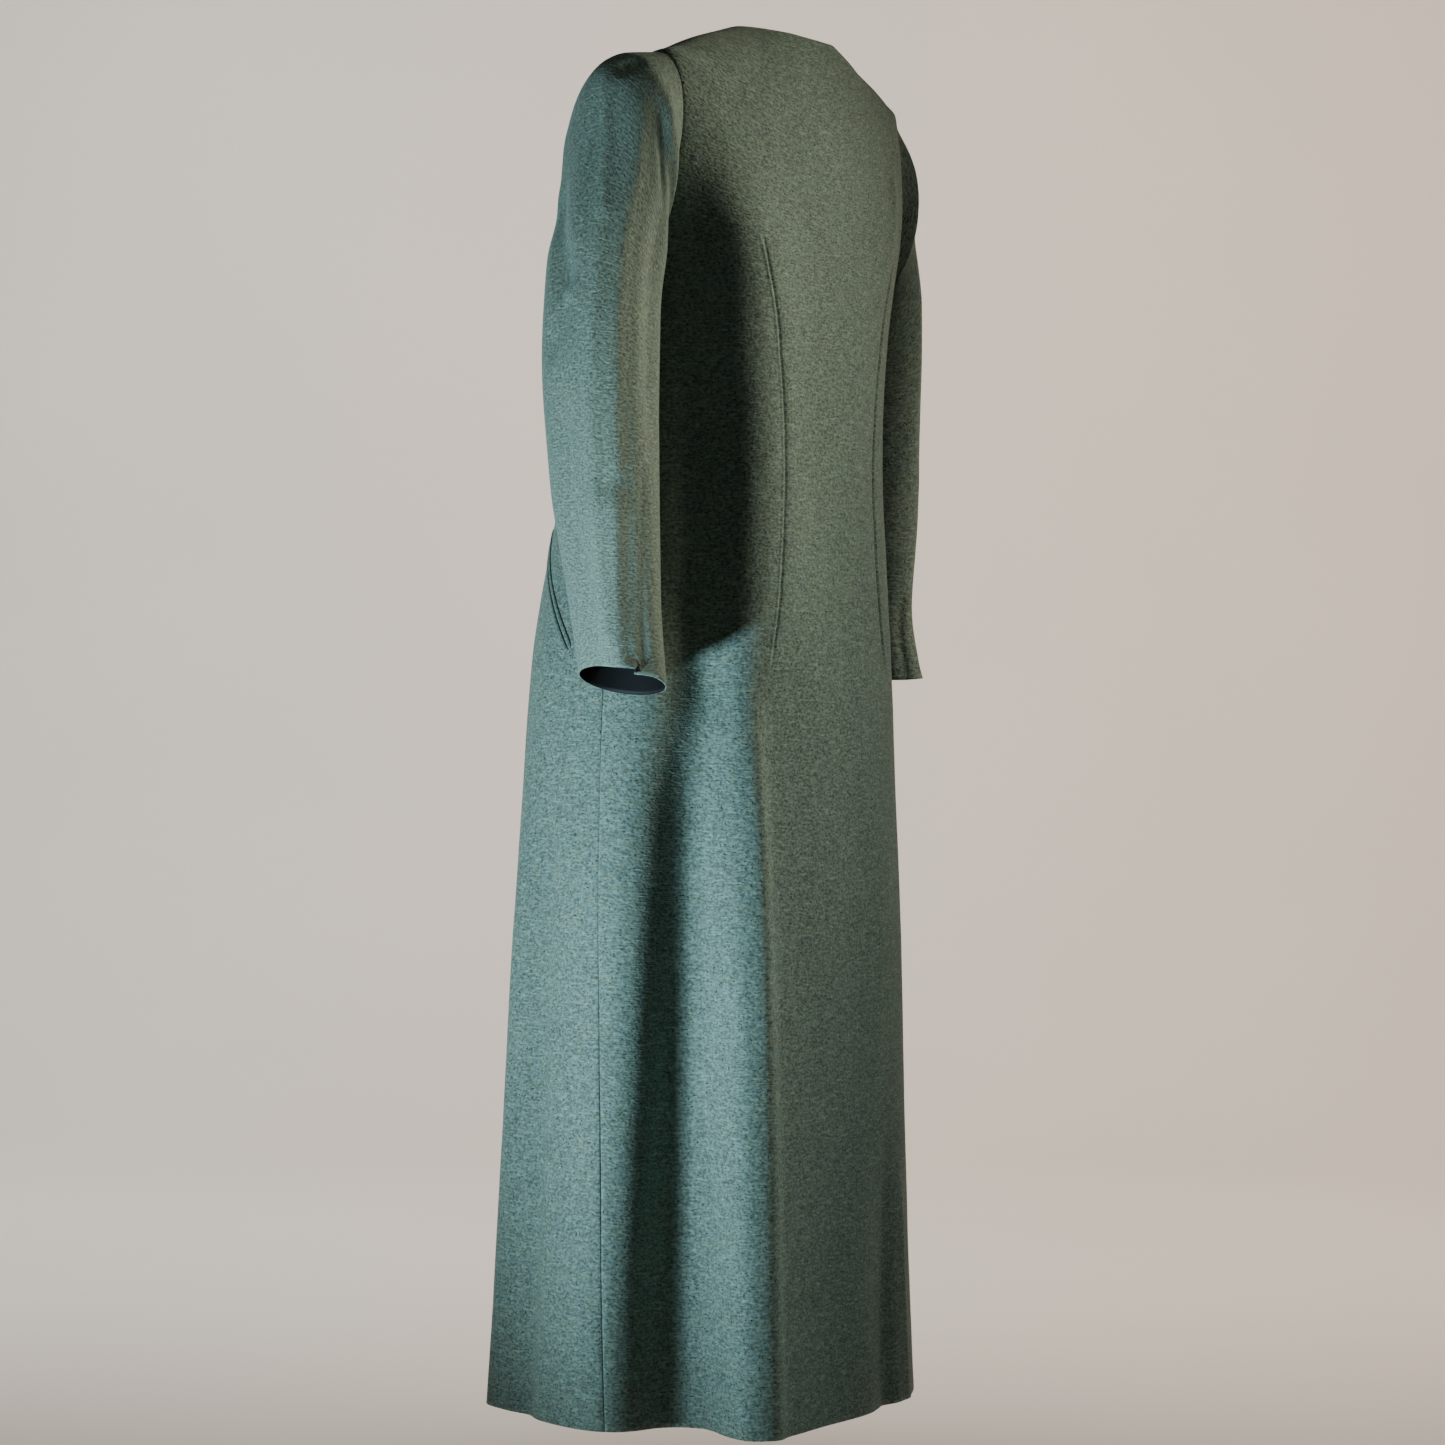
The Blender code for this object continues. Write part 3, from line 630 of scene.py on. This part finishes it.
for hand in ("left", "right"):
    is_left = hand == "left"
    turns = np.linspace(0, 2 * np.pi, SLEEVE_ROUND, endpoint=False)
    rings = [body_moved_out(*armhole_edge(turns), np.full(turns.shape, -ARMHOLE_ROLL * SEAM_ROLL))]
    for row in SLEEVES[hand].values():
        ring = dict(zip(SLEEVE_COLUMNS, np.array(row) * MM))
        outer = np.array([ring["outer_x"], ring["mid_y"], ring["outer_z"]])
        inner = np.array([ring["inner_x"], ring["mid_y"], ring["inner_z"]])
        middle, out = (outer + inner) / 2, (outer - inner) / 2
        deep = np.array([0, ring["half_depth"], 0])
        rings.append(middle + np.cos(turns)[:, None] * out + np.sin(turns)[:, None] * deep)
    rings = np.array(rings)
    steps = np.linalg.norm(np.diff(rings.mean(1), axis=0), axis=-1) + RING_ROOM
    knots = np.concatenate([[0], np.cumsum(steps)])
    share = np.linspace(0, 1, SLEEVE_ROWS + 1)
    # Rows lie closer together towards the armhole
    rows = knots[-1] * (0.25 * share**2 + 0.75 * share)
    columns = [[table_curve(knots, rings[:, c, k], rows) for k in range(3)] for c in range(SLEEVE_ROUND)]
    grid = np.array(columns).transpose(2, 0, 1)
    tuck = dict(zip(TUCK_COLUMNS, TUCKS[hand]))
    middle = grid.mean(1, keepdims=True)
    off = np.degrees(turns) - tuck["turn"]
    wide = np.where(off < 0, tuck["wide_before"], tuck["wide_after"])
    starts, cuff = tuck["starts_z"] * MM, middle[-1, 0, 2]
    grown = ease((middle[..., 2] - starts) / (cuff - starts))
    outward = (grid - middle) / np.linalg.norm(grid - middle, axis=-1, keepdims=True)
    grid = grid + outward * (tuck["depth"] * MM * grown * np.exp(-((off / wide) ** 2)))[..., None]
    along = np.broadcast_to((rows / knots[-1])[:, None], grid.shape[:2])
    turn_grid = np.broadcast_to(np.degrees(turns)[None, :], grid.shape[:2])
    way_down = along * SLEEVE_LENGTH
    relief = creases(SLEEVE_CREASES[hand], turn_grid, way_down, lambda turn, down: SLEEVE_MM_A_DEGREE)
    relief = relief + unevenness(grid, SLEEVE_WAVES[hand]) * ease(along / WAVES_FADE_IN)
    relief = relief * ease(along / RELIEF_FADES_IN)
    # The cuff's edge doubles back on itself in one small pleat, which fades out up the forearm
    pleat = dict(zip(PLEAT_COLUMNS, PLEATS[hand]))
    to_edge = (rows[-1] - rows)[:, None] / MM
    grown = ease(1 - to_edge / pleat["long"])
    turned = ease(1 - to_edge / PLEAT_TURNS_BACK_OVER)
    off = (turn_grid - pleat["turn"]) / pleat["wide"]
    shift = np.radians(pleat["back"]) * turned * -off * np.exp(0.5 - off**2 / 2)
    step = np.tanh(1.6 * off) * np.exp(-((off / 3) ** 2))
    relief = relief - pleat["depth"] * MM * grown * (0.3 + 0.7 * turned) * step
    middle = grid.mean(1, keepdims=True)
    arm = grid - middle
    flat = np.stack([-arm[..., 1], arm[..., 0], np.zeros(arm.shape[:2])], -1)
    grid = middle + arm * np.cos(shift)[..., None] + flat * np.sin(shift)[..., None]
    # Rows run down and columns anticlockwise from above once the right one is mirrored
    if not is_left:
        grid, relief = grid[:, ::-1] * np.array([-1, 1, 1]), relief[:, ::-1]
    grid = grid + grid_normals(grid, closed=True) * relief[..., None]
    steps = np.linalg.norm(np.roll(grid, -1, 1) - grid, axis=-1)
    grain_x = np.concatenate([np.zeros((len(rows), 1)), np.cumsum(steps, 1)], 1)
    sleeve_silk = slubbed_silk("plain_woven_slubbed_silk_" + hand + "_sleeve", 27.1 if is_left else 33.5)
    # The inside of each sleeve is near-black
    dark_inside = near_black_inner_face("plain_woven_black_silk_" + hand + "_lining")
    sleeve = cloth_piece(
        hand + "_sleeve_cloth", grid, grain_x, -rows[:, None], sleeve_silk, closed=True, inside=dark_inside
    )
    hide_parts(hand + "_sleeve")
    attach(sleeve, "root")


# The pockets. Two narrow lips of the silk, folded on the grain and stitched along the edges of a slanted
# slit. They are pressed flat. Their yarns are drawn a little darker than the cloth round them, as painted
# shade.

# The lips' teal and olive are the silk's yarns darkened, as painted shade along the pocket's slit
SHADED_LIP_TEAL, SHADED_LIP_OLIVE = "627873", "697767"
LIP_WIDTH, LIP_THICK, LIP_CLOTH, SLIT = 5.0 * MM, 1.2 * MM, 0.7 * MM, 1.0 * MM
LIP_ROWS, LIP_COLUMNS = 41, 9
for hand in ("left", "right"):
    for height, side in (("upper", 1), ("lower", -1)):
        share = np.linspace(0, 1, LIP_ROWS)[:, None]
        angle = np.radians(POCKET_LOW_ANGLE + (POCKET_HIGH_ANGLE - POCKET_LOW_ANGLE) * share)
        down = POCKET_LOW_DOWN + (POCKET_HIGH_DOWN - POCKET_LOW_DOWN) * share
        arc = radius(angle, down)
        slit_round = np.radians(POCKET_HIGH_ANGLE - POCKET_LOW_ANGLE) * arc
        slit_down = np.full_like(slit_round, POCKET_HIGH_DOWN - POCKET_LOW_DOWN)
        length = np.hypot(slit_round, slit_down)
        width = np.linspace(0, 1, LIP_COLUMNS)[None, :]
        # A lip keeps its width and its rounding until it narrows and flattens at both ends
        ends = np.sqrt(np.clip(1 - (2 * share - 1) ** 16, 0, 1))
        away = side * (SLIT / 2 + LIP_WIDTH * width * (0.55 + 0.45 * ends))
        crown = LIP_THICK * (0.35 + 0.95 * np.sin(np.pi * width) ** 0.6) * (0.5 + 0.5 * ends)
        round_by, down_by = away * -slit_down / length, away * slit_round / length
        angle, down = angle + round_by / arc, down + down_by
        if hand == "right":
            angle = mirrored(angle)
        grid = body_moved_out(angle, down, np.broadcast_to(crown, angle.shape))
        if (hand == "left") == (side == 1):
            grid = grid[:, ::-1]
        silk_name = "folded_slubbed_silk_" + hand + "_" + height + "_lip"
        # The lips' darker colour is painted shade, not a different yarn
        lip_silk = slubbed_silk(silk_name, 41.0, SHADED_LIP_TEAL, SHADED_LIP_OLIVE)
        name = hand + "_pocket_" + height + "_lip_cloth"
        along = share * float(length.mean())
        lip = cloth_piece(name, grid, width * LIP_WIDTH, along, lip_silk, thick=LIP_CLOTH)
        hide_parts(hand + "_pocket_" + height + "_lip")
        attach(lip, "root")


# The floor and the light. A pale sweep of painted board stands well clear of the coat and has three lights
# of its own. A small cool window stands low at the camera's left. A warm panel and a cooler one below stand
# at the right. The sleeves are flagged off them and have dimmer panels, the left one also from the front.

AZIMUTH = np.radians(126.0)
TOWARD = np.array([np.sin(AZIMUTH), -np.cos(AZIMUTH), 0])
RIGHT = np.array([np.cos(AZIMUTH), np.sin(AZIMUTH), 0])
FLOOR, SWEEP_STARTS, SWEEP_RADIUS, SWEEP_WIDE, SWEEP_TALL, SWEEP_BEFORE = -1.43, 3.0, 1.4, 5.5, 3.2, 4.5
BOARD_PAINT, ROOM_COLOUR = "E0DAD2", "E8EEEE"


def painted_board(name, colour):
    """Matt emulsion paint on board: an even pale surface with a faint mottle from the roller."""
    material = bpy.data.materials.new(name)
    material.use_nodes = True
    tree = material.node_tree
    place = add_node(tree, "ShaderNodeTexCoord").outputs["Object"]
    mottle = add_node(tree, "ShaderNodeTexNoise", {"Scale": 1.6, "Detail": 4.0}, Vector=place)
    ramp = add_node(tree, "ShaderNodeMapRange", {"To Min": 0.96, "To Max": 1.04}, Value=mottle.outputs[0])
    paint = add_node(tree, "ShaderNodeVectorMath", {"operation": "SCALE", 0: srgb(colour)[:3]})
    tree.links.new(ramp.outputs[0], paint.inputs["Scale"])
    shader = tree.nodes["Principled BSDF"]
    tree.links.new(paint.outputs[0], shader.inputs["Base Color"])
    shader.inputs["Roughness"].default_value = 0.9
    return material


bend = np.linspace(0, np.pi / 2, 25)
profile = [(SWEEP_BEFORE, FLOOR)] + [
    (-SWEEP_STARTS - SWEEP_RADIUS * np.sin(b), FLOOR + SWEEP_RADIUS * (1 - np.cos(b))) for b in bend
]
profile.append((-SWEEP_STARTS - SWEEP_RADIUS, FLOOR + SWEEP_RADIUS + SWEEP_TALL))
verts, faces = [], []
for i, (near, z) in enumerate(profile):
    for side in (-SWEEP_WIDE, SWEEP_WIDE):
        verts.append(tuple(TOWARD * near + RIGHT * side + np.array([0, 0, z])))
    if i:
        faces.append((2 * i - 2, 2 * i - 1, 2 * i + 1, 2 * i))
mesh = bpy.data.meshes.new("pale_sweep")
mesh.from_pydata(verts, [], faces)
mesh.materials.append(painted_board("matt_painted_board", BOARD_PAINT))
mesh.shade_smooth()
sweep = bpy.data.objects.new("pale_sweep", mesh)
bpy.context.scene.collection.objects.link(sweep)
sweep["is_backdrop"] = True

LIGHT_COLUMNS = (
    "right", "toward", "z", "aim_right", "aim_toward", "aim_z",
    "width", "height", "spread", "power", "red", "green", "blue", "falls_on",
)
LIGHTS = {
    "cool_window_left": (-1.05, 0.76, -1.38, 1.0, 0.40, -0.06, 0.24, 0.24, 79, 15.3, 0.60, 0.86, 1.0, "coat"),
    "warm_panel_right": (1.80, 0.14, 0.12, 0, 1.40, -0.22, 0.50, 0.50, 86, 31, 1.0, 0.86, 0.66, "body"),
    "warm_panel_dimmed":
        (1.80, 0.02, 0.12, 0, 1.36, -0.22, 0.90, 0.90, 86, 20, 1.0, 0.86, 0.66, "left_sleeve"),
    "warm_panel_flagged": (1.35, 0.05, 0.0, 0, 0, -1.0, 0.4, 0.4, 70, 2.2, 1.0, 0.87, 0.70, "right_sleeve"),
    "pale_panel_right": (1.80, 0.02, -0.80, 0, 1.36, -0.60, 0.32, 0.32, 86, 4.2, 0.50, 0.88, 1.0, "body"),
    "pale_panel_front":
        (0.50, 1.70, -0.50, -0.16, 0.20, -0.38, 0.40, 0.40, 30, 0.28, 1.0, 0.94, 0.80, "left_sleeve"),
    "backdrop_left": (-1.5, -1.0, 1.3, -1.5, -4.4, -0.6, 2.0, 1.2, 160, 90, 0.97, 0.98, 1.0, "sweep"),
    "backdrop_right": (1.5, -1.0, 1.3, 1.5, -4.4, -0.6, 2.0, 1.2, 160, 92, 1.0, 0.83, 0.66, "sweep"),
    "floor_above": (0, 0.6, 2.4, 0, -0.6, -1.43, 3.0, 0.6, 44, 7.0, 1.0, 0.93, 0.86, "sweep"),
}
# What each light falls on
lit_names = ("coat", "body", "left_sleeve", "right_sleeve", "sweep")
lit = {name: bpy.data.collections.new(name) for name in lit_names}
lit["sweep"].objects.link(sweep)
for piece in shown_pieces():
    lit["coat"].objects.link(piece)
    part_name = "_".join(piece.name.split("_")[:2])
    lit[part_name if part_name in lit else "body"].objects.link(piece)
for name, row in LIGHTS.items():
    light = dict(zip(LIGHT_COLUMNS, row))
    lamp = bpy.data.lights.new(name, "AREA")
    lamp.shape = "RECTANGLE"
    lamp.size, lamp.size_y = light["width"], light["height"]
    lamp.spread = np.radians(light["spread"])
    lamp.energy = light["power"]
    lamp.color = (light["red"], light["green"], light["blue"])
    place = RIGHT * light["right"] + TOWARD * light["toward"] + np.array([0, 0, light["z"]])
    aim = RIGHT * light["aim_right"] + TOWARD * light["aim_toward"] + np.array([0, 0, light["aim_z"]])
    away = (place - aim) / np.linalg.norm(place - aim)
    level = np.cross([0, 0, 1], away)
    level = level / np.linalg.norm(level)
    up = np.cross(away, level)
    obj = bpy.data.objects.new(name, lamp)
    obj.matrix_world = Matrix([[level[k], up[k], away[k], place[k]] for k in range(3)] + [[0, 0, 0, 1]])
    obj.light_linking.receiver_collection = lit[light["falls_on"]]
    bpy.context.scene.collection.objects.link(obj)

# The dim room lights the coat a little from all round, and looks as pale as the sweep past the sweep's edges
ROOM_LIGHT, ROOM_SEEN = 0.05, 0.62
world = bpy.data.worlds.new("soft_room")
world.use_nodes = True
room = world.node_tree.nodes["Background"]
room.inputs["Color"].default_value = srgb(ROOM_COLOUR)
seen = add_node(world.node_tree, "ShaderNodeLightPath").outputs["Is Camera Ray"]
levels = {"To Min": ROOM_LIGHT, "To Max": ROOM_SEEN}
strength = add_node(world.node_tree, "ShaderNodeMapRange", levels, Value=seen)
world.node_tree.links.new(strength.outputs[0], room.inputs["Strength"])
bpy.context.scene.world = world


# The camera stands behind the coat's left side, level with its hip, and is rolled a little to one side. Its
# lens is long enough for the whole coat to fill the square frame from 3.2 metres away.

CAMERA_DISTANCE, CAMERA_LEFT, CAMERA_HEIGHT, CAMERA_ROLL = 3.2, 0.040, -0.6425, 0.8
SENSOR_MM, LENS_MM = 36, 84.8
lens = bpy.data.cameras.new("camera")
lens.sensor_width = SENSOR_MM
lens.lens = LENS_MM
lens.clip_end = 50
camera = bpy.data.objects.new("camera", lens)
place = TOWARD * CAMERA_DISTANCE - RIGHT * CAMERA_LEFT + np.array([0, 0, CAMERA_HEIGHT])
turned = Matrix.Rotation(AZIMUTH, 4, "Z") @ Matrix.Rotation(np.pi / 2, 4, "X")
camera.matrix_world = Matrix.Translation(place) @ turned @ Matrix.Rotation(np.radians(CAMERA_ROLL), 4, "Z")
bpy.context.scene.collection.objects.link(camera)
bpy.context.scene.camera = camera
